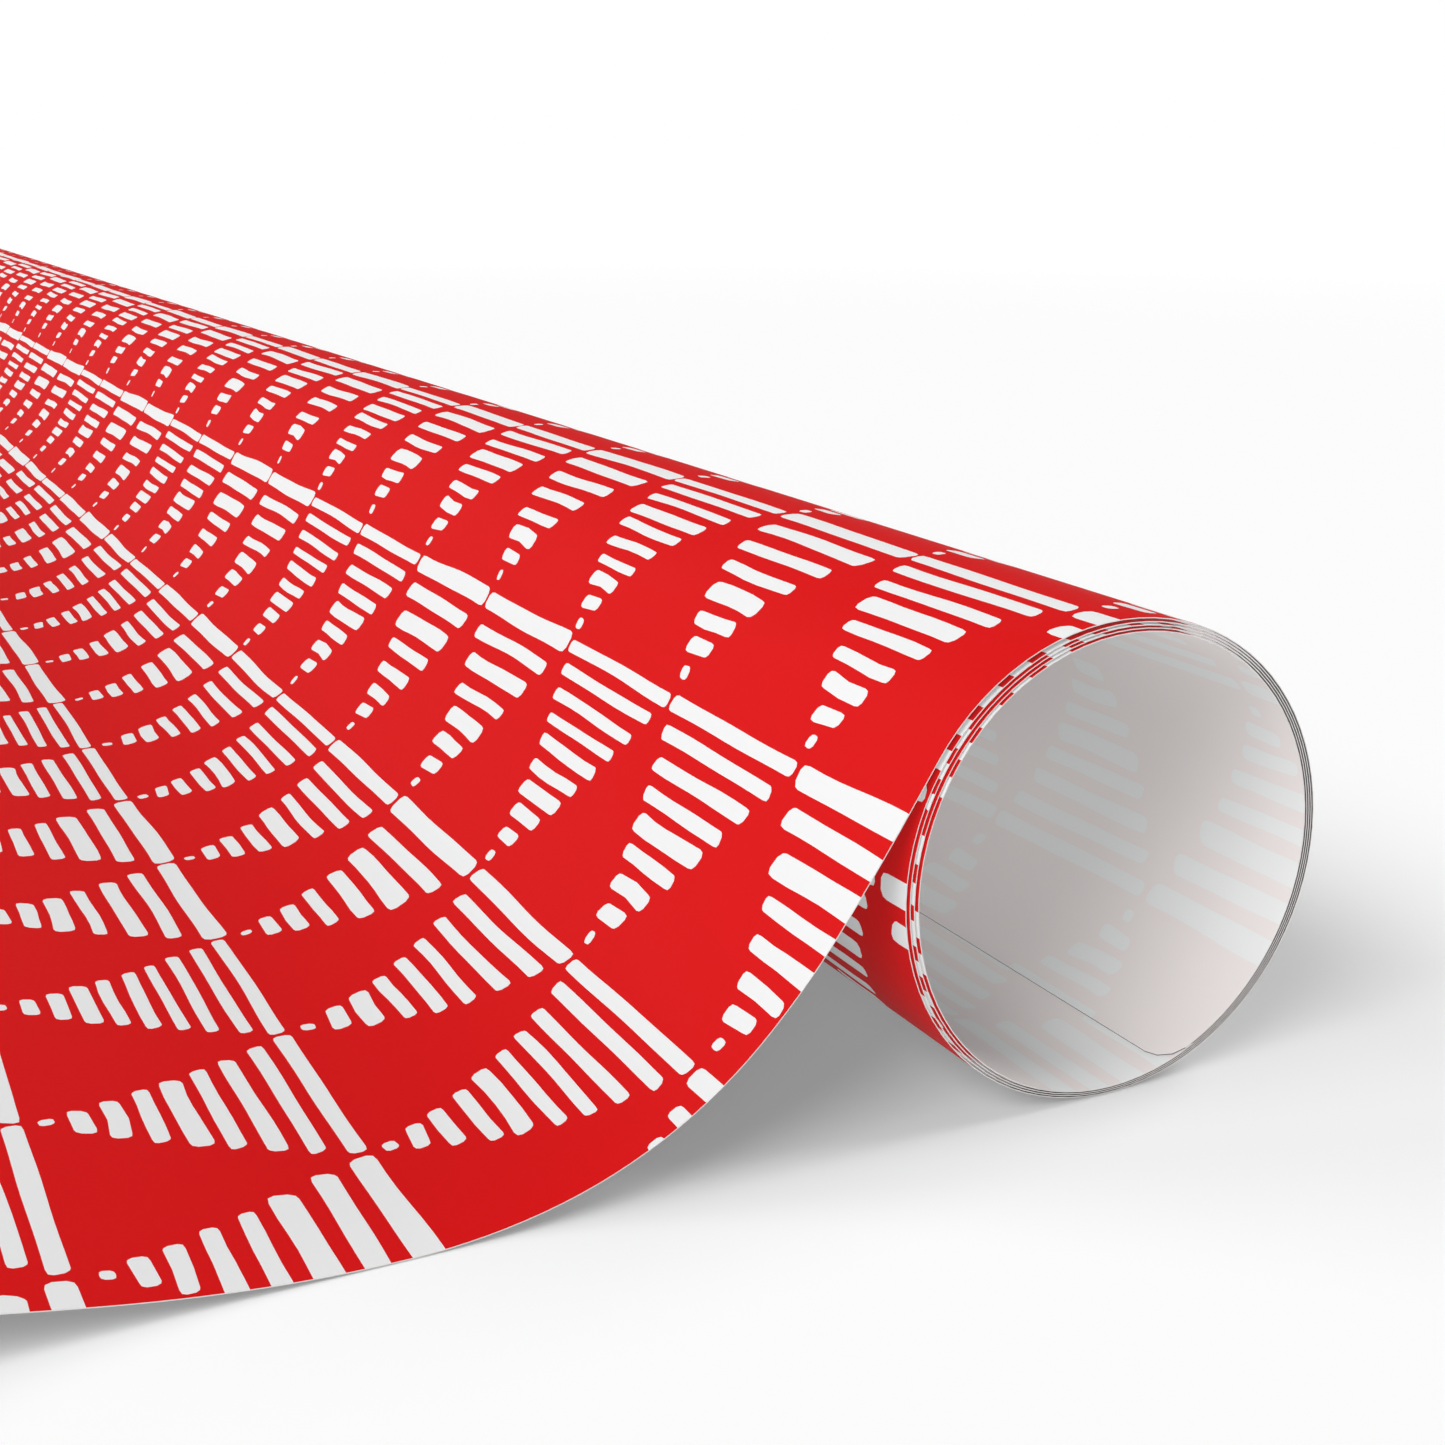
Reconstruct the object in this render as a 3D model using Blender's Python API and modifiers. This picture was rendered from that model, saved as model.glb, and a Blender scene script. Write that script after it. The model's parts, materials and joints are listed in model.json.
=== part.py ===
"""A coreless roll of gift wrap: one sheet of paper wound about four and a half turns, whose free end runs off onto
the table in an S-shaped curve.

Frame: the roll lies along Y. The origin is on the table, under the roll's axis, halfway along the roll. The free
end runs towards -X, and +Z is up. Units are metres.

The sheet is divided where it moves. The wound plies slide along the axis, each inside the one around it. The free
end is a chain of narrow strips, each hinged to the one before along a line parallel to the axis.
"""
import math

import bmesh
import bpy
from mathutils import Vector

# Driving dimensions
PAPER_WIDTH = 0.762  # across the sheet, so along the roll
THICKNESS = 0.0002  # of the paper
GAP = 0.0003  # clear air between one ply and the next, and between neighbouring strips
OUTER_RADIUS = 0.0210  # of the outermost ply's middle surface, where the free sheet leaves it
FACET = math.radians(7.5)  # the turn that one flat facet of a ply covers
DEPARTURE = 7.5 * FACET  # the angle from straight up, towards -X, at which the free sheet leaves the roll
WOUND = 221.5 * FACET  # the whole turn of the wound paper, a little over four and a half turns
STEP_DOWN = math.radians(90)  # each ply comes down onto the one below over this part of its turn
PLY_COUNT = 5
FLAP_TURN = 4 * FACET  # the turn that the loose inner end covers
END_STEP = 0.00025  # each ply stands this much further out of the near end than the ply around it
FREE_LENGTH = 0.105  # of the sheet that has left the roll
STRIP_COUNT = 10
RESTING_STRIP = 5  # the strip, counted from 0, that lies flat on the table
SLOPES = (  # the sheet's slope in degrees, at distances along it from the roll; down towards -X is positive
    (0.000, 56.0),
    (0.011, 59.0),
    (0.025, 47.0),
    (0.040, 24.0),
    (0.056, 0.0),
    (0.080, -10.5),
    (0.105, -14.5),
)

# Worked out from those
PITCH = THICKNESS + GAP
MAIN_RADIUS = OUTER_RADIUS - PITCH  # of the outermost ply, once it has come down
AXIS_HEIGHT = MAIN_RADIUS * math.cos(FACET / 2) + THICKNESS / 2  # so that the lowest facet lies on the table
STRIP_WIDTH = FREE_LENGTH / STRIP_COUNT

PRINTED_RED = (0.708, 0.013, 0.019, 1.0)
UNPRINTED_WHITE = (0.86, 0.85, 0.84, 1.0)
PAPER_ROUGHNESS = 0.5


def clear_scene():
    for thing in list(bpy.data.objects):
        bpy.data.objects.remove(thing, do_unlink=True)


def make_collection(name):
    collection = bpy.data.collections.new(name)
    bpy.context.scene.collection.children.link(collection)
    return collection


def make_material(name, colour):
    material = bpy.data.materials.new(name)
    material.use_nodes = True
    shader = material.node_tree.nodes["Principled BSDF"]
    shader.inputs["Base Color"].default_value = colour
    shader.inputs["Roughness"].default_value = PAPER_ROUGHNESS
    shader.inputs["Metallic"].default_value = 0.0
    return material


def ply_radius(turned):
    """The radius of the middle of the paper after this much turn, counted inwards from where the sheet leaves."""
    whole_turns = math.floor(turned / math.tau)
    into_turn = turned - whole_turns * math.tau
    return OUTER_RADIUS - PITCH * (whole_turns + min(1.0, into_turn / STEP_DOWN))


def ply_point(turned):
    """A point (x, z) on the middle of the wound paper."""
    angle = DEPARTURE - turned
    radius = ply_radius(turned)
    return Vector((-radius * math.sin(angle), AXIS_HEIGHT + radius * math.cos(angle)))


def ply_profile(start, end):
    """The points (x, z) of one ply, facet by facet, with half a gap left at each end."""
    trim = GAP / 2 / OUTER_RADIUS
    first, last = start + trim, end - trim
    turns = [first]
    for number in range(math.floor(start / FACET), math.ceil(end / FACET) + 1):
        if first < number * FACET < last:
            turns.append(number * FACET)
    turns.append(last)
    return [ply_point(turned) for turned in turns]


def slope_at(distance):
    """The free sheet's slope at a distance along it, in radians."""
    for (start, above), (end, below) in zip(SLOPES, SLOPES[1:]):
        if distance <= end:
            share = (distance - start) / (end - start)
            return math.radians(above + (below - above) * share)
    return math.radians(SLOPES[-1][1])


def hinge_points(extra_slope):
    """The points (x, z) of the hinge lines, and of the free edge, with the falling part steeper by extra_slope."""
    points = [ply_point(0.0)]
    for number in range(STRIP_COUNT):
        slope = slope_at((number + 0.5) * STRIP_WIDTH)
        if number < RESTING_STRIP:
            slope += extra_slope * math.sin(math.pi * (number + 0.5) / RESTING_STRIP)
        elif number == RESTING_STRIP:
            slope = 0.0
        direction = Vector((-math.cos(slope), -math.sin(slope)))
        points.append(points[-1] + STRIP_WIDTH * direction)
    return points


def settled_hinge_points():
    """The hinge points of the sheet whose resting strip lies on the table."""
    low, high = math.radians(-20), math.radians(20)
    for _ in range(60):
        middle = (low + high) / 2
        height = hinge_points(middle)[RESTING_STRIP].y - THICKNESS / 2
        if height > 0:
            low = middle
        else:
            high = middle
    return hinge_points((low + high) / 2)


def make_paper(name, profile, origin, near_end, colour, collection, parent=None):
    """A piece of the sheet: profile is its middle line in (x, z), and near_end the y of its near edge."""
    mesh = bpy.data.meshes.new(name)
    surface = bmesh.new()
    line = [surface.verts.new((p.x - origin.x, near_end - origin.y, p.y - origin.z)) for p in profile]
    edges = [surface.edges.new(pair) for pair in zip(line, line[1:])]
    swept = bmesh.ops.extrude_edge_only(surface, edges=edges)
    moved = [item for item in swept["geom"] if isinstance(item, bmesh.types.BMVert)]
    bmesh.ops.translate(surface, verts=moved, vec=(0.0, PAPER_WIDTH, 0.0))
    bmesh.ops.recalc_face_normals(surface, faces=surface.faces)
    surface.to_mesh(mesh)
    surface.free()
    mesh.shade_smooth()
    mesh.materials.append(make_material(name + "_paper", colour))

    piece = bpy.data.objects.new(name, mesh)
    collection.objects.link(piece)
    if parent is None:
        piece.location = origin
    else:
        piece.parent = parent
        piece.location = origin - parent.matrix_world.translation
    bpy.context.view_layer.update()

    shell = piece.modifiers.new("paper thickness", "SOLIDIFY")
    shell.thickness = THICKNESS
    shell.offset = 0.0
    shell.use_even_offset = True
    return piece


def make_plies(collection):
    """The wound plies, outermost first, and the loose inner end, which hinges on the innermost ply."""
    axis = Vector((0.0, 0.0, AXIS_HEIGHT))
    parent = None
    for number in range(PLY_COUNT):
        start = number * math.tau
        end = min(start + math.tau, WOUND - FLAP_TURN)
        innermost = number == PLY_COUNT - 1
        colour = UNPRINTED_WHITE if innermost else PRINTED_RED
        near_end = -PAPER_WIDTH / 2 - number * END_STEP
        name = f"ply_{number + 1}"
        ply = make_paper(name, ply_profile(start, end), axis, near_end, colour, collection, parent)
        parent = ply
        if number == 0:
            outermost = ply
    hinge = ply_point(end)
    origin = Vector((hinge.x, 0.0, hinge.y))
    make_paper(
        "inner_end_flap", ply_profile(end, WOUND), origin, near_end, UNPRINTED_WHITE, collection, parent
    )
    return outermost


def make_free_sheet(collection, roll):
    """The strips of the free sheet, each hinged on the one before, the first one on the roll."""
    points = settled_hinge_points()
    parent = roll
    for number in range(STRIP_COUNT):
        start, end = points[number], points[number + 1]
        trim = (end - start).normalized() * (GAP / 2)
        profile = [start + trim, end - trim]
        origin = Vector((start.x, 0.0, start.y))
        name = f"sheet_strip_{number + 1:02d}"
        parent = make_paper(name, profile, origin, -PAPER_WIDTH / 2, PRINTED_RED, collection, parent)


def main():
    clear_scene()
    collection = make_collection("wrapping_paper_roll")
    roll = make_plies(collection)
    make_free_sheet(collection, roll)


main()
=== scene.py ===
"""Looks for the wrapping paper roll: a coreless roll of red gift wrap, its free end lying on the table.

One printed sheet is modelled as a chain of thin closed pieces. Each piece is a length of the same sheet. It
rides on one body of the frame, or stays where it lies at rest.
Distances along the sheet ("along") start at the line where the sheet leaves the roll: positive towards the
free edge, negative into the roll. Distances across it ("across") start at the near edge. All lengths are in
metres.
"""

import json
import math
import random
from bisect import bisect_right

import bpy
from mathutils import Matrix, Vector
from mathutils.geometry import delaunay_2d_cdt

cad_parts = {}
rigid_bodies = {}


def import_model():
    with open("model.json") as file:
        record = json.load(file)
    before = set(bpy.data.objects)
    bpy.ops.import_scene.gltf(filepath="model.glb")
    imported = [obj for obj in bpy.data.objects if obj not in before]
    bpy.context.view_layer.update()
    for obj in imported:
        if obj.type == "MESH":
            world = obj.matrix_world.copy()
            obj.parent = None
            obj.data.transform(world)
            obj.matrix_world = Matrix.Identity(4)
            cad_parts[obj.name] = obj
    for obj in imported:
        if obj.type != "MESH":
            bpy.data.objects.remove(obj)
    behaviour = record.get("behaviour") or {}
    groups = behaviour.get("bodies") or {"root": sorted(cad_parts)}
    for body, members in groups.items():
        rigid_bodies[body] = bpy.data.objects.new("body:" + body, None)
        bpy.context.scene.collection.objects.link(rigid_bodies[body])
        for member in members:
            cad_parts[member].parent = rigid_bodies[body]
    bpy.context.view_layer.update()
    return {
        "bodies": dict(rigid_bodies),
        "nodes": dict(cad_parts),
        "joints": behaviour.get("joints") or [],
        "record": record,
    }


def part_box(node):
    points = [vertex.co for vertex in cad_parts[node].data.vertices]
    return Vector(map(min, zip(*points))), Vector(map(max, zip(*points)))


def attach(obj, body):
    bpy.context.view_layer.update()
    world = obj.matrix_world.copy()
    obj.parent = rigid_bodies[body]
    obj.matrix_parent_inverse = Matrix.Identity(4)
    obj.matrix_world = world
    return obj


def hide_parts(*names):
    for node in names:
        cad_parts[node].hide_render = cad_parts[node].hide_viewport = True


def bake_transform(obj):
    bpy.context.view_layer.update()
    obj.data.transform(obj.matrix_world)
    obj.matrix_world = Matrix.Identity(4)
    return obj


MM = 0.001

# The sheet. Each inner turn stands out at the near end by END_STEP, on the free sheet's side.
PAPER_THICKNESS = 0.08 * MM
PLY_PITCH = 0.235 * MM
FACET_LENGTH = 1.6 * MM
END_STEP = 0.25 * MM
CORNER_RADIUS = 2.5 * MM
CORNER_TURNS = (0, 30, 60, 90)
CORNER_CLEARANCE = 1.3 * CORNER_RADIUS
# The width of the band at each end of the roll where the backs of covered turns are painted dark as shade.
GAP_SHADE_DEPTH = 0.35 * MM
FULL_TURN = 2 * math.pi

# How the roll is wound. Turns are counted from the line where the sheet leaves the roll. The hidden turns
# take up HIDDEN_EASE times their drawn length of print. Each turn settles inwards over SETTLING_TURN.
DEPARTURE_ANGLE = math.radians(56.25)
SETTLING_TURN = math.radians(90)
WOUND_TURN = math.radians(1659.75)
FLAP_TURN = math.radians(28.5)
JOIN_HALF_TURN = math.radians(60)
TURN_STEP = math.radians(1)
FIRST_JOIN_TURN = math.radians(14.5)
PLY_COUNT = 5
STRIP_COUNT = 10
HIDDEN_EASE = 1.066
FLAP_PIECE = 1.5
FLAP_BEND = (1.15, 0.6)

# The print: rows of triangles, each made of hand-cut bars.
REPEAT = 25.4 * MM
ROW_PITCH = 24.9 * MM
FIRST_ROW_ALONG = 6.6 * MM
FIRST_JUNCTION = 0.668 * REPEAT
PRINT_SEED = 20

# How many bars each of four neighbouring triangles has. Even rows alternate between two orders.
ODD_ROW = (8, 9, 10, 8)
EVEN_ROWS = ((10, 9, 8, 9), (9, 8, 10, 8))

# Turns that are never seen have print only in a band at each end.
HIDDEN_BAND = 62 * MM

# How the bars are cut. Gaps and thicknesses are shares of the local gap, lengths are shares of the repeat.
FEW_BARS = 9
CROWDING_FEW = 0.22
CROWDING_MANY = 0.06
GAP_SPREAD = 0.09
BASE_LENGTH = 0.975
LENGTH_FALL = 1.02
LENGTH_SPREAD = 0.012
THICKNESS = (0.46, 0.56)
BASE_THICKNESS = (0.56, 0.64)
FAT_THICKNESS = 0.70
LAST_THICKNESS = (0.58, 0.66)
TIP_LENGTH = (0.042, 0.062)
TIP_THICKNESS = (0.42, 0.52)
SIDE_SHIFT = 0.008

# How a bar's outline wanders. Tapers, bows and waves are shares of its thickness.
OUTLINE_STEP = 2.4 * MM
CORNER_SHARE = 0.46
TAPER = 0.05
BOW = 0.10
BOW_WAVE = 2.4
SLANT = 0.35
WAVE_DEPTH = 0.05
WAVES = ((1.0, 2.1), (0.7, 5.3))
CAP_ANGLES = (58, 20, -20, -58)
CAP_POWER = 0.75

# The studio. Each light is a name, the direction it comes from, its elevation and its strength.
WORLD_STRENGTH = 0.215
LIGHT_SPREAD = math.radians(30)
FADE_START = 0.4
FADE_END = 1.8
FADE_LOW = 0.01
FADE_HIGH = 0.09
FLOOR_SIZE = 200
FLOOR_DROP = 0.01 * MM
SOFT_LIGHTS = (
    ("key_left", 180, 38, 0.25),
    ("key_back_left", 135, 38, 0.175),
    ("fill_front_left", 210, 38, 0.33),
    ("fill_front", 240, 18, 0.14),
    ("fill_right", 0, 38, 0.385),
)

# The camera, placed from the middle of the roll's near end.
CAMERA_LENS = 50.6
CAMERA_OFFSET = Vector((-98.7, -126.9, 56.5)) * MM
CAMERA_DIP = 0.275
CAMERA_TURN = 0.457

WHITE = (1.0, 1.0, 1.0, 1.0)


def smooth(value):
    """0 below 0, 1 above 1, and a smooth rise between."""
    value = min(max(value, 0.0), 1.0)
    return value * value * (3 - 2 * value)


# ---------------------------------------------------------------- the sheet's path


class Path:
    """The line that the sheet follows, seen along the roll's axis."""

    def __init__(self, frame):
        outer_low, outer_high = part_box("ply_1")
        self.near_end = outer_low.y
        self.width = outer_high.y - outer_low.y
        self.axis_height = self.read_axis_height(frame)
        self.hinges = self.read_hinges(frame)
        self.outer_radius = (self.hinges[0] - Vector((0, self.axis_height))).length
        self.main_radius = self.axis_height - PAPER_THICKNESS / 2
        self.strip_length = (self.hinges[1] - self.hinges[0]).length
        self.wound_lengths = self.measure_winding()

    def read_axis_height(self, frame):
        """The lowest facet of the outermost ply rests on the table, so its widest level is the axis."""
        vertices = frame["nodes"]["ply_1"].data.vertices
        rightmost = max(vertices, key=lambda vertex: vertex.co.x).co
        widest = [v.co.z for v in vertices if abs(v.co.x - rightmost.x) < 1e-5]
        return sum(widest) / len(widest)

    def read_hinges(self, frame):
        """(x, z) of the curl hinges in order, then the free edge."""
        places = {joint["name"]: joint.get("pos_m") for joint in frame["joints"]}
        hinges = []
        for number in range(1, STRIP_COUNT + 1):
            x, _, z = places[f"curl_{number:02d}"]
            hinges.append(Vector((x, z)))
        length = (hinges[1] - hinges[0]).length
        low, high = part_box(f"sheet_strip_{STRIP_COUNT:02d}")
        run = hinges[-1].x - low.x
        rise = math.sqrt(max(length * length - run * run, 0.0))
        hinges.append(hinges[-1] + Vector((-run, rise)))
        return hinges

    def wound_radius(self, turned):
        """The outermost ply stands a little proud where the sheet leaves. The others lie on each other."""
        first_drop = (self.outer_radius - self.main_radius) * smooth(turned / SETTLING_TURN)
        later = max(turned - FULL_TURN, 0.0)
        whole_turns, part = divmod(later, FULL_TURN)
        drops = whole_turns + smooth(part / SETTLING_TURN) if turned > FULL_TURN else 0.0
        return self.outer_radius - first_drop - PLY_PITCH * drops

    def wound_point(self, turned):
        angle = DEPARTURE_ANGLE - turned
        radius = self.wound_radius(turned)
        place = Vector((-radius * math.sin(angle), self.axis_height + radius * math.cos(angle)))
        normal = Vector((-math.sin(angle), math.cos(angle)))
        return place, normal

    def middle(self, strip):
        """The middle of a strip, with strips counted from 1 where the sheet leaves the roll."""
        return (self.hinges[strip - 1] + self.hinges[strip]) / 2

    def free_point(self, along):
        """A quadratic Bezier arc from the middle of each strip to the middle of the next."""
        place_in_strips = along / self.strip_length
        number = math.floor(place_in_strips + 0.5)
        if number < 1 or number >= STRIP_COUNT:
            strip = 1 if number < 1 else STRIP_COUNT
            start, end = self.hinges[strip - 1], self.hinges[strip]
            part = place_in_strips - (strip - 1)
            place = start.lerp(end, part)
            heading = (end - start).normalized()
        else:
            start, bend, end = self.middle(number), self.hinges[number], self.middle(number + 1)
            part = place_in_strips + 0.5 - number
            place = start.lerp(bend, part).lerp(bend.lerp(end, part), part)
            heading = (bend - start).lerp(end - bend, part).normalized()
        return place, Vector((heading.y, -heading.x))

    def section(self, along):
        """(place, normal on the printed side), both (x, z), at a distance along the sheet."""
        if along >= 0:
            return self.free_point(along)
        return self.wound_point(self.turned_at(along))

    def measure_winding(self):
        """Length of sheet wound up after each small step of turn, with more print on the hidden turns."""
        lengths = [0.0]
        for step in range(math.ceil(WOUND_TURN / TURN_STEP) + 1):
            turned = (step + 0.5) * TURN_STEP
            ease = HIDDEN_EASE if FULL_TURN < turned < WOUND_TURN - FULL_TURN else 1.0
            lengths.append(lengths[-1] + self.wound_radius(turned) * TURN_STEP * ease)
        return lengths

    def along_at(self, turned):
        step = int(turned / TURN_STEP)
        part = turned / TURN_STEP - step
        low, high = self.wound_lengths[step:step + 2]
        return -(low + (high - low) * part)

    def turned_at(self, along):
        if along >= 0:
            return 0.0
        step = bisect_right(self.wound_lengths, -along) - 1
        low, high = self.wound_lengths[step:step + 2]
        return (step + (-along - low) / (high - low)) * TURN_STEP

    def step_out(self, along):
        """How far the winding has crept towards the near end, on the free sheet's side of the roll only."""
        turned = self.turned_at(along)
        leftwards = 0.5 + 0.5 * math.sin(DEPARTURE_ANGLE - turned)
        return END_STEP * leftwards * turned / FULL_TURN

    def point(self, along, across, lift=0.0):
        place, normal = self.section(along)
        place = place + normal * lift
        return Vector((place.x, self.near_end + across - self.step_out(along), place.y))

    def normal(self, along):
        _, normal = self.section(along)
        return Vector((normal.x, 0.0, normal.y))


# ---------------------------------------------------------------- the print


def bar_sizes(count, rng):
    """The bars of one triangle, base first: (distance from the base, length, thickness), as shares."""
    crowding = CROWDING_FEW if count < FEW_BARS else CROWDING_MANY
    gaps = []
    for index in range(count - 1):
        crowded = 1.0 - crowding * (index / count - 0.5) * 2
        gaps.append(crowded + rng.uniform(-GAP_SPREAD, GAP_SPREAD))
    reach = (count - 1) / count / sum(gaps)
    fat_bar = rng.randrange(count // 3, count - 2)
    sizes = []
    place = 0.0
    for index in range(count):
        gap = gaps[min(index, count - 2)] * reach
        length = BASE_LENGTH - LENGTH_FALL * place + rng.uniform(-LENGTH_SPREAD, LENGTH_SPREAD)
        thickness = gap * rng.uniform(*THICKNESS)
        if index == 0:
            thickness = gap * rng.uniform(*BASE_THICKNESS)
        elif index == fat_bar:
            thickness = gap * FAT_THICKNESS
        elif index == count - 1:
            length = rng.uniform(*TIP_LENGTH)
            thickness = gap * rng.uniform(*TIP_THICKNESS)
        elif index >= count - 3:
            thickness = gap * rng.uniform(*LAST_THICKNESS)
        sizes.append((place, length, thickness))
        place += gap
    return sizes


def bar_outline(centre, length, thickness, rng):
    """A rounded bar cut by hand: soft corners, slightly wavy edges and one end thinner than the other."""
    along, across = centre
    half = length / 2
    corner = CORNER_SHARE * min(thickness, length)
    straight = half - corner
    taper = rng.uniform(-TAPER, TAPER)
    bow = rng.uniform(-BOW, BOW) * thickness
    slant = rng.uniform(-SLANT, SLANT)
    phases = [rng.uniform(0, FULL_TURN) for _ in range(4)]
    step_count = max(1, round(2 * straight / OUTLINE_STEP))
    steps = [-straight + 2 * straight * i / step_count for i in range(step_count + 1)]

    def edge(place, side):
        share = place / half
        side_phases = phases[:2] if side > 0 else phases[2:]
        wave = 0.0
        for phase, (height, pace) in zip(side_phases, WAVES):
            wave += height * math.sin(phase + pace * share)
        width = 0.5 * thickness * (1 + taper * share) * (1 + WAVE_DEPTH * wave)
        return side * width + bow * math.sin(phases[0] + BOW_WAVE * share)

    def cap(end):
        """Points round one end, a squared-off half ellipse."""
        high, low = edge(end * straight, 1), edge(end * straight, -1)
        for degrees in CAP_ANGLES:
            angle = end * math.radians(degrees)
            rise = math.copysign(abs(math.sin(angle)) ** CAP_POWER, angle)
            reach = math.cos(angle) ** CAP_POWER * corner
            height = (high + low) / 2 + rise * (high - low) / 2
            yield height, end * (straight + reach) + slant * rise * corner

    outline = [(edge(place, 1), place) for place in steps]
    outline += cap(1)
    outline += [(edge(place, -1), place) for place in reversed(steps)]
    outline += cap(-1)
    return [(along + a, across + b) for a, b in outline]


def motif(row, column):
    """Which triangle this is, and how many bars it has. The print repeats every four triangles across."""
    if row % 2:
        place = (column + 1) % len(ODD_ROW)
        return ("odd", place), ODD_ROW[place]
    order = EVEN_ROWS[row // 2 % 2]
    place = column % len(order)
    return ("even", row // 2 % 2, place), order[place]


def triangle_bars(row, column):
    """The outlines of one triangle's bars, on the flat sheet."""
    name, count = motif(row, column)
    rng = random.Random(f"{PRINT_SEED} {name}")
    base_along = FIRST_ROW_ALONG + (1 - row) * ROW_PITCH
    shift = 0.0 if row % 2 else -0.5 * REPEAT
    middle = FIRST_JUNCTION + shift + (column + 0.5) * REPEAT
    outlines = []
    for share, length, thickness in bar_sizes(count, rng):
        centre = (base_along + share * ROW_PITCH, middle + rng.uniform(-SIDE_SHIFT, SIDE_SHIFT) * REPEAT)
        outlines.append(bar_outline(centre, length * REPEAT, thickness * ROW_PITCH, rng))
    return outlines


def bars_on(path, start, end, bands):
    """Every bar that touches the sheet between two places along it, inside the bands across it."""
    first_row = math.floor(1 - (end - FIRST_ROW_ALONG) / ROW_PITCH) - 1
    last_row = math.ceil(1 - (start - FIRST_ROW_ALONG) / ROW_PITCH) + 1
    columns = range(-2, math.ceil(path.width / REPEAT) + 2)
    outlines = []
    for row in range(first_row, last_row + 1):
        for column in columns:
            for outline in triangle_bars(row, column):
                alongs = [point[0] for point in outline]
                acrosses = [point[1] for point in outline]
                if max(alongs) <= start or min(alongs) >= end:
                    continue
                if any(max(acrosses) > low and min(acrosses) < high for low, high in bands):
                    outlines.append(outline)
    return outlines


# ---------------------------------------------------------------- meshing a piece of the sheet

# The place of each material in the list that sheet_materials makes.
INK, BARS, BACK_BEHIND_INK, BACK_BEHIND_BARS, CUT_EDGE, PAINTED_GAP_SHADE = range(6)


def facet_lines(start, end):
    count = max(1, math.ceil((end - start) / FACET_LENGTH - 1e-6))
    return [start + (end - start) * i / count for i in range(count + 1)]


def border_outline(path, start, end, rounded):
    """The piece's own outline. The innermost corners of the sheet are rounded."""
    width = path.width
    if not rounded:
        return [(start, 0.0), (end, 0.0), (end, width), (start, width)]
    outline = [(end, 0.0), (end, width)]
    for across, sides in ((width, CORNER_TURNS), (0.0, CORNER_TURNS[::-1])):
        centre_across = width - CORNER_RADIUS if across else CORNER_RADIUS
        direction = 1 if across else -1
        for degrees in sides:
            angle = math.radians(degrees)
            outline.append((
                start + CORNER_RADIUS * (1 - math.sin(angle)),
                centre_across + direction * CORNER_RADIUS * math.cos(angle),
            ))
    return outline


def cutting_lines(path, start, end):
    """Lines that no triangle may cross: the facets' edges and, on the roll, the edges of the bands of
    painted shade at its ends.
    """
    lines = [((place, -MM), (place, path.width + MM)) for place in facet_lines(start, end)[1:-1]]
    if end < 0:
        for across in (GAP_SHADE_DEPTH, path.width - GAP_SHADE_DEPTH):
            lines.append(((start - MM, across), (end + MM, across)))
    return lines


def flat_mesh(path, start, end, bands, rounded=False):
    """Triangles of the flat piece: (points, triangles, whether each triangle is inside a bar)."""
    border = border_outline(path, start, end, rounded)
    points = [Vector((a / MM, b / MM)) for a, b in border]
    faces = [list(range(len(border)))]
    edges = []
    for line in cutting_lines(path, start, end):
        edges.append((len(points), len(points) + 1))
        points.extend(Vector((a / MM, b / MM)) for a, b in line)
    for outline in bars_on(path, start, end, bands):
        index = len(points)
        points.extend(Vector((a / MM, b / MM)) for a, b in outline)
        faces.append(list(range(index, index + len(outline))))
    flat, _, triangles, _, _, origins = delaunay_2d_cdt(points, edges, faces, 0, 1e-5)
    kept = []
    printed = []
    for triangle, origin in zip(triangles, origins):
        if 0 not in origin:
            continue
        kept.append(triangle)
        printed.append(len(origin) > 1)
    used = sorted({index for triangle in kept for index in triangle})
    renumbered = {old: new for new, old in enumerate(used)}
    points = [(flat[index].x * MM, flat[index].y * MM) for index in used]
    triangles = [[renumbered[index] for index in triangle] for triangle in kept]
    return points, triangles, printed


def boundary_edges(triangles):
    """Directed edges that belong to only one triangle."""
    seen = set()
    for a, b, c in triangles:
        seen.update(((a, b), (b, c), (c, a)))
    return [(a, b) for a, b in seen if (b, a) not in seen]


def interpolated(path, lines, along, across, lift):
    """A point on the facet between two facet lines, so that each facet is flat."""
    span = (lines[-1] - lines[0]) / (len(lines) - 1)
    index = min(max(int((along - lines[0]) / span), 0), len(lines) - 2)
    part = (along - lines[index]) / span
    low = path.point(lines[index], across, lift)
    high = path.point(lines[index + 1], across, lift)
    return low.lerp(high, part)


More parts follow.
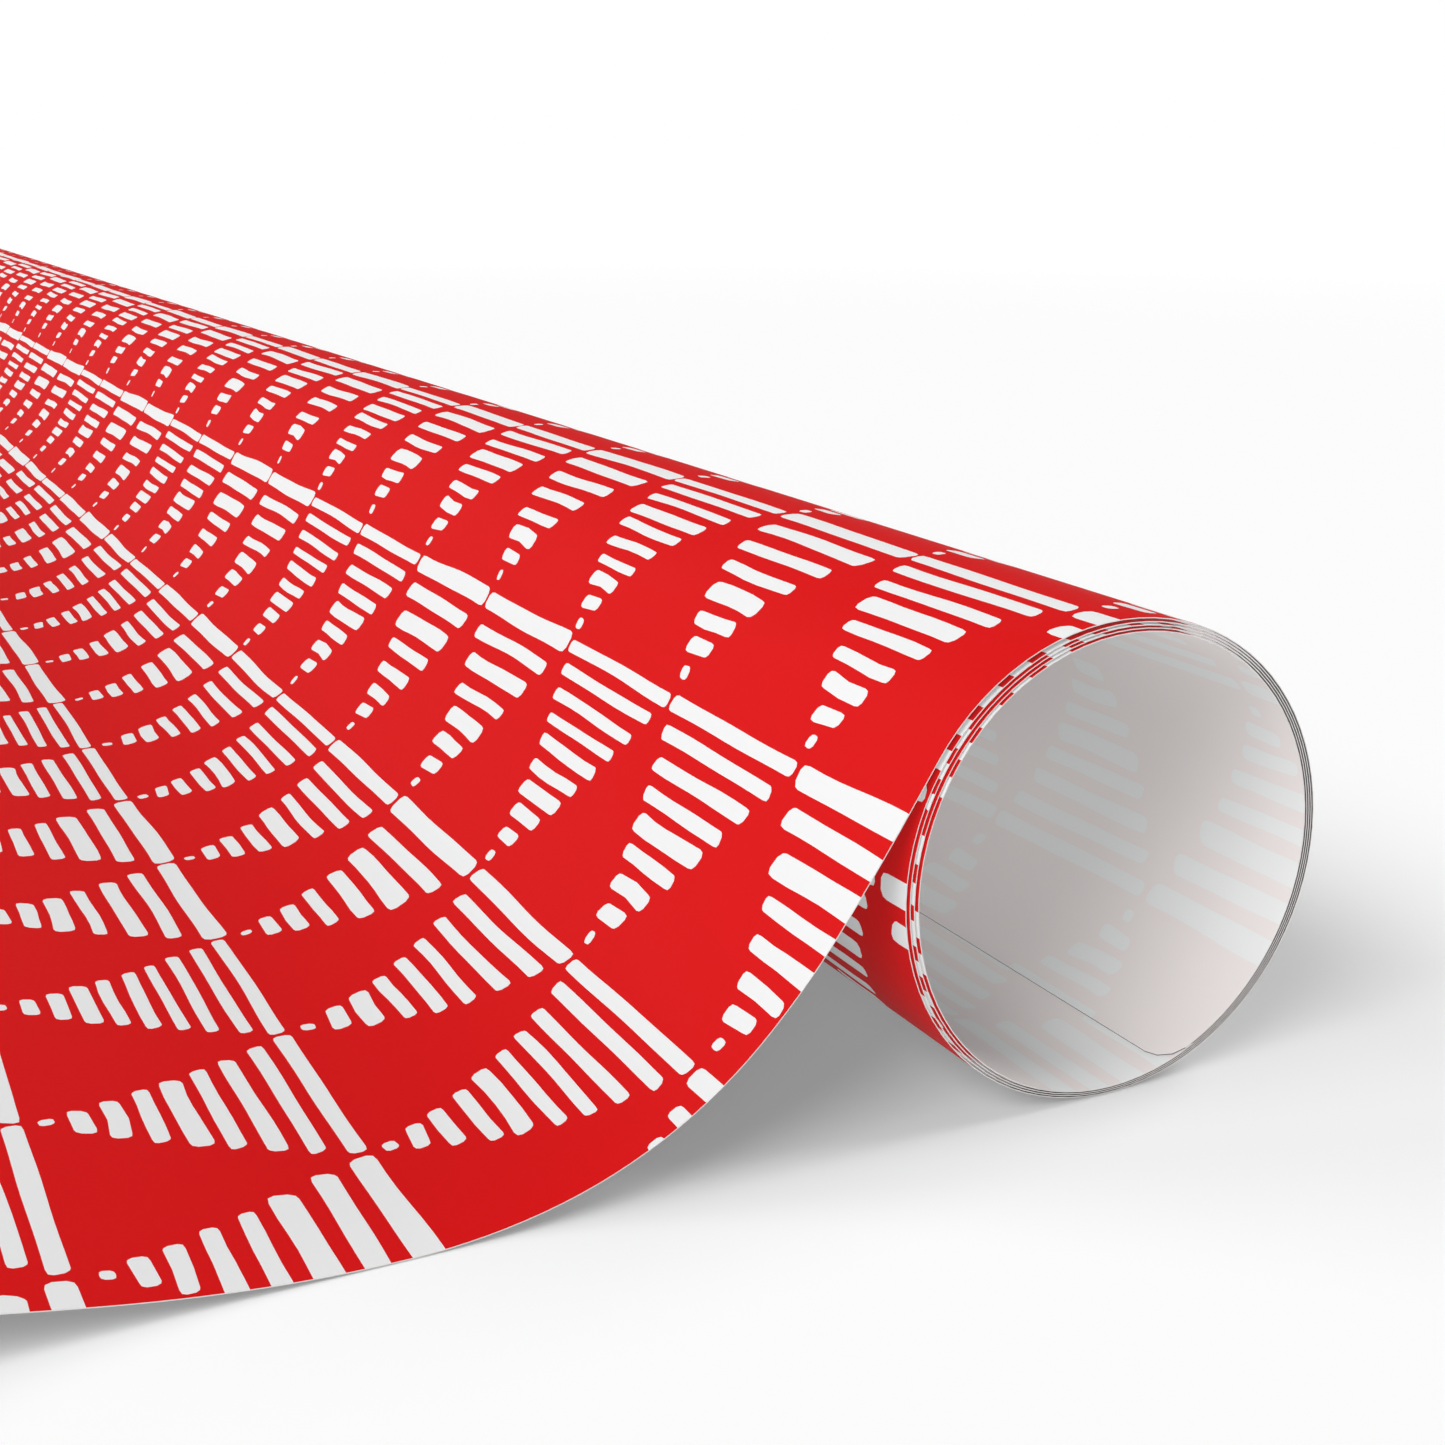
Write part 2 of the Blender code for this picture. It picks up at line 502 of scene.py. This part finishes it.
def paper_piece(name, path, start, end, materials, bands=None, rounded=False):
    """A thin closed solid: printed face, back face and cut edges, with true normals on both faces."""
    bands = bands or [(0.0, path.width)]
    points, triangles, printed = flat_mesh(path, start, end, bands, rounded)
    lines = facet_lines(start, end)
    half = PAPER_THICKNESS / 2
    count = len(points)
    vertices = [interpolated(path, lines, a, b, half) for a, b in points]
    vertices += [interpolated(path, lines, a, b, -half) for a, b in points]
    normals = [path.normal(a) for a, _ in points]

    faces, slots, corner_normals = [], [], []
    for triangle, is_bar in zip(triangles, printed):
        front, back = face_pair(triangle, vertices, normals, count)
        faces.append(front)
        slots.append(BARS if is_bar else INK)
        corner_normals.extend(normals[index] for index in front)
        faces.append(back)
        slots.append(back_slot(path, [points[index] for index in triangle], is_bar))
        corner_normals.extend(-normals[index - count] for index in back)
    fronts = [face for face, slot in zip(faces, slots) if slot in (INK, BARS)]
    for a, b in sorted(boundary_edges(fronts)):
        wall = (b, a, a + count, b + count)
        across_edge = vertices[a] - vertices[b]
        outward = across_edge.cross(vertices[a + count] - vertices[a]).normalized()
        faces.append(wall)
        # The cut edge at the sheet's inner end and its rounded corners is painted dark: a painted shadow
        # line where the end lies on the turn beneath.
        painted_shadow_at_inner_edge = rounded and max(points[a][0], points[b][0]) < start + CORNER_RADIUS
        slots.append(PAINTED_GAP_SHADE if painted_shadow_at_inner_edge else CUT_EDGE)
        corner_normals.extend([outward] * 4)

    mesh = bpy.data.meshes.new(name)
    mesh.from_pydata(vertices, [], faces)
    mesh.polygons.foreach_set("material_index", slots)
    mesh.polygons.foreach_set("use_smooth", [True] * len(faces))
    for material in materials:
        mesh.materials.append(material)
    mesh.normals_split_custom_set(corner_normals)
    mesh.update()
    piece = bpy.data.objects.new(name, mesh)
    piece.visible_diffuse = False  # it casts shadows, but its red doesn't tint the white floor
    bpy.context.scene.collection.objects.link(piece)
    return piece


def back_slot(path, corners, is_bar):
    """The back is bare paper. At the roll's ends, wherever another turn lies inside it, it is painted dark:
    painted shade for the narrow gaps between turns.
    """
    along = sum(corner[0] for corner in corners) / 3
    across = sum(corner[1] for corner in corners) / 3
    covered = path.along_at(WOUND_TURN - FULL_TURN) + CORNER_CLEARANCE < along < 0
    inside_ends = GAP_SHADE_DEPTH < across < path.width - GAP_SHADE_DEPTH
    # Painted shade: the back is coloured dark here in place of the shade between turns.
    if covered and not inside_ends:
        return PAINTED_GAP_SHADE
    return BACK_BEHIND_BARS if is_bar else BACK_BEHIND_INK


def face_pair(triangle, vertices, normals, count):
    """The triangle turned to face the printed side, and its twin on the back."""
    a, b, c = triangle
    facing = (vertices[b] - vertices[a]).cross(vertices[c] - vertices[a])
    if facing.dot(normals[a]) < 0:
        b, c = c, b
    return (a, b, c), (a + count, c + count, b + count)


# ---------------------------------------------------------------- materials


def add_paper_relief(material, shader, roughness, fibre_size, strength, spread):
    """Fine paper fibre: roughness and bump that vary over the surface."""
    nodes, links = material.node_tree.nodes, material.node_tree.links
    place = nodes.new("ShaderNodeTexCoord")
    fibre = nodes.new("ShaderNodeTexNoise")
    fibre.inputs["Scale"].default_value = 1 / fibre_size
    fibre.inputs["Detail"].default_value = 3.0
    links.new(place.outputs["Object"], fibre.inputs["Vector"])
    level = nodes.new("ShaderNodeMapRange")
    level.inputs["To Min"].default_value = roughness - spread
    level.inputs["To Max"].default_value = roughness + spread
    links.new(fibre.outputs["Fac"], level.inputs["Value"])
    links.new(level.outputs["Result"], shader.inputs["Roughness"])
    bump = nodes.new("ShaderNodeBump")
    bump.inputs["Strength"].default_value = strength
    bump.inputs["Distance"].default_value = 0.02 * MM
    links.new(fibre.outputs["Fac"], bump.inputs["Height"])
    links.new(bump.outputs["Normal"], shader.inputs["Normal"])


def paper_material(name, colour, roughness, specular, fibre_size, strength, spread=0.05):
    material = bpy.data.materials.new(name)
    material.use_nodes = True
    material.diffuse_color = (*colour, 1.0)
    shader = material.node_tree.nodes["Principled BSDF"]
    shader.inputs["Base Color"].default_value = (*colour, 1.0)
    shader.inputs["Specular IOR Level"].default_value = specular
    add_paper_relief(material, shader, roughness, fibre_size, strength, spread)
    return material


def sheet_materials():
    """Printed side: ink and bare bars. Back: both showing through. Then the cut edge, and a dark painted
    shade for the rim's gaps and the inner cut edge.
    """
    return [
        paper_material("red_ink", (0.70, 0.005, 0.006), 0.55, 0.08, 0.45 * MM, 0.25),
        paper_material("bare_bars", (0.86, 0.86, 0.86), 0.60, 0.08, 0.45 * MM, 0.25),
        paper_material("back_behind_ink", (0.93, 0.865, 0.855), 0.80, 0.15, 0.6 * MM, 0.35),
        paper_material("back_behind_bars", (0.925, 0.935, 0.925), 0.80, 0.15, 0.6 * MM, 0.35),
        paper_material("cut_edge", (0.84, 0.80, 0.79), 0.85, 0.10, 0.3 * MM, 0.40),
        # Painted shade: a dark colour for the gaps between turns at the rim and for the inner cut edge,
        # where shade falls.
        paper_material("painted_gap_shade", (0.13, 0.125, 0.125), 0.85, 0.0, 0.6 * MM, 0.35),
    ]


# ---------------------------------------------------------------- the pieces


def ride_ply(name, body, node, path, start_turn, end_turn, materials, bands=None):
    """A length of wound sheet that keeps its shape. Turns grow inwards, so the end turn is first along."""
    start, end = path.along_at(end_turn), path.along_at(start_turn)
    piece = paper_piece(name, path, start, end, materials, bands)
    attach(piece, body)
    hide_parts(node)
    return piece


def join_plies(name, path, start_turn, end_turn, materials, bands):
    """A length of wound sheet between one ply and the next, built where it lies at rest."""
    start, end = path.along_at(end_turn), path.along_at(start_turn)
    piece = paper_piece(name, path, start, end, materials, bands)
    path.point(end, 0.0)
    path.point(start, 0.0)
    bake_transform(piece)
    return piece


def build_roll(path, materials):
    edges_only = [(0.0, HIDDEN_BAND), (path.width - HIDDEN_BAND, path.width)]
    bodies = ["roll"] + [f"ply_{number}" for number in range(2, PLY_COUNT + 1)]
    flap_start = WOUND_TURN - FLAP_PIECE * FLAP_TURN
    for number, body in enumerate(bodies, 1):
        hidden = 2 <= number <= 3
        bands = edges_only if hidden else None
        begin = FIRST_JOIN_TURN if number == 1 else (number - 1) * FULL_TURN + JOIN_HALF_TURN
        finish = flap_start if number == PLY_COUNT else number * FULL_TURN - JOIN_HALF_TURN
        name, node = f"paper_ply_{number}", f"ply_{number}"
        ride_ply(name, body, node, path, begin, finish, materials, bands)
        if number < PLY_COUNT:
            bands = edges_only if number < PLY_COUNT - 1 else None
            join_plies(
                f"paper_turn_{number}_{number + 1}", path,
                finish, finish + 2 * JOIN_HALF_TURN, materials, bands,
            )
    build_inner_end(path, flap_start, bodies[-1], materials)


def build_inner_end(path, flap_start, last_ply, materials):
    """The last of the sheet, inside the bore. On the real roll it can be lifted off with a fingertip; this
    piece is built where it lies.
    """
    start, end = path.along_at(WOUND_TURN), path.along_at(flap_start)
    piece = paper_piece("paper_inner_end", path, start, end, materials, rounded=True)
    bend_start, bend_end = (path.along_at(WOUND_TURN - share * FLAP_TURN) for share in FLAP_BEND)
    path.point(bend_start, 0.0)
    path.point(bend_end, 0.0)
    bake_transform(piece)
    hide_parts("inner_end_flap")


def build_free_sheet(path, materials):
    """The first piece leaves the roll. The others run from one strip's middle to the next one's."""
    length = path.strip_length
    for number in range(STRIP_COUNT):
        start = (number - 0.5) * length if number else path.along_at(FIRST_JOIN_TURN)
        bend_end = (number + 0.5) * length
        end = STRIP_COUNT * length if number == STRIP_COUNT - 1 else bend_end
        piece = paper_piece(f"free_sheet_{number + 1:02d}", path, start, end, materials)
        path.point(start, 0.0)
        path.point(bend_end, 0.0)
        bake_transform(piece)
        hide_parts(f"sheet_strip_{number + 1:02d}")


# ---------------------------------------------------------------- the stage


def lighten_with_distance(material, shader):
    """The floor fades to full white far from the roll, so that no horizon shows."""
    nodes, links = material.node_tree.nodes, material.node_tree.links
    place = nodes.new("ShaderNodeTexCoord")
    distance = nodes.new("ShaderNodeVectorMath")
    distance.operation = "LENGTH"
    links.new(place.outputs["Object"], distance.inputs[0])
    fade = nodes.new("ShaderNodeMapRange")
    fade.interpolation_type = "SMOOTHSTEP"
    fade.inputs["From Min"].default_value = FADE_START
    fade.inputs["From Max"].default_value = FADE_END
    fade.inputs["To Min"].default_value = FADE_LOW
    fade.inputs["To Max"].default_value = FADE_HIGH
    links.new(distance.outputs["Value"], fade.inputs["Value"])
    links.new(fade.outputs["Result"], shader.inputs["Emission Strength"])
    shader.inputs["Emission Color"].default_value = WHITE


def add_floor():
    bpy.ops.mesh.primitive_plane_add(size=FLOOR_SIZE, location=(0, 0, -FLOOR_DROP))
    floor = bpy.context.object
    floor.name = "floor"
    material = bpy.data.materials.new("studio_white")
    material.use_nodes = True
    shader = material.node_tree.nodes["Principled BSDF"]
    shader.inputs["Base Color"].default_value = WHITE
    shader.inputs["Specular IOR Level"].default_value = 0.0
    shader.inputs["Roughness"].default_value = 0.9
    lighten_with_distance(material, shader)
    floor.data.materials.append(material)
    return floor


def add_world(strength):
    """White all round: fully white to the camera, and a softer white as a light."""
    world = bpy.data.worlds.new("studio")
    bpy.context.scene.world = world
    world.use_nodes = True
    nodes, links = world.node_tree.nodes, world.node_tree.links
    output = nodes["World Output"]
    light = nodes["Background"]
    light.inputs["Color"].default_value = WHITE
    light.inputs["Strength"].default_value = strength
    seen = nodes.new("ShaderNodeBackground")
    seen.inputs["Color"].default_value = WHITE
    seen.inputs["Strength"].default_value = 1.0
    ray = nodes.new("ShaderNodeLightPath")
    mix = nodes.new("ShaderNodeMixShader")
    links.new(ray.outputs["Is Camera Ray"], mix.inputs["Fac"])
    links.new(light.outputs["Background"], mix.inputs[1])
    links.new(seen.outputs["Background"], mix.inputs[2])
    links.new(mix.outputs["Shader"], output.inputs["Surface"])


def add_soft_light(name, azimuth, elevation, strength):
    """A broad distant light. Azimuth is where it comes from: 0 is +X and 90 is +Y."""
    turn, rise = math.radians(azimuth), math.radians(elevation)
    source = Vector((math.cos(turn) * math.cos(rise), math.sin(turn) * math.cos(rise), math.sin(rise)))
    data = bpy.data.lights.new(name, "SUN")
    data.angle = LIGHT_SPREAD
    data.energy = math.pi * strength
    light = bpy.data.objects.new(name, data)
    light.location = source
    light.rotation_euler = (-source).to_track_quat("-Z", "Y").to_euler()
    bpy.context.scene.collection.objects.link(light)


def add_camera(path):
    data = bpy.data.cameras.new("camera")
    data.lens = CAMERA_LENS
    data.sensor_width = 36.0
    data.clip_start = 0.01
    data.clip_end = 100
    camera = bpy.data.objects.new("camera", data)
    near_centre = Vector((0.0, path.near_end, path.axis_height))
    camera.location = near_centre + CAMERA_OFFSET
    camera.rotation_euler = (math.pi / 2 - CAMERA_DIP, 0.0, -CAMERA_TURN)
    bpy.context.scene.collection.objects.link(camera)
    bpy.context.scene.camera = camera


def build_stage(path):
    add_floor()
    add_world(WORLD_STRENGTH)
    for name, azimuth, elevation, strength in SOFT_LIGHTS:
        add_soft_light(name, azimuth, elevation, strength)
    add_camera(path)
    bpy.context.scene.view_settings.view_transform = "Standard"


def main():
    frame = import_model()
    path = Path(frame)
    build_stage(path)
    materials = sheet_materials()
    build_roll(path, materials)
    build_free_sheet(path, materials)


main()
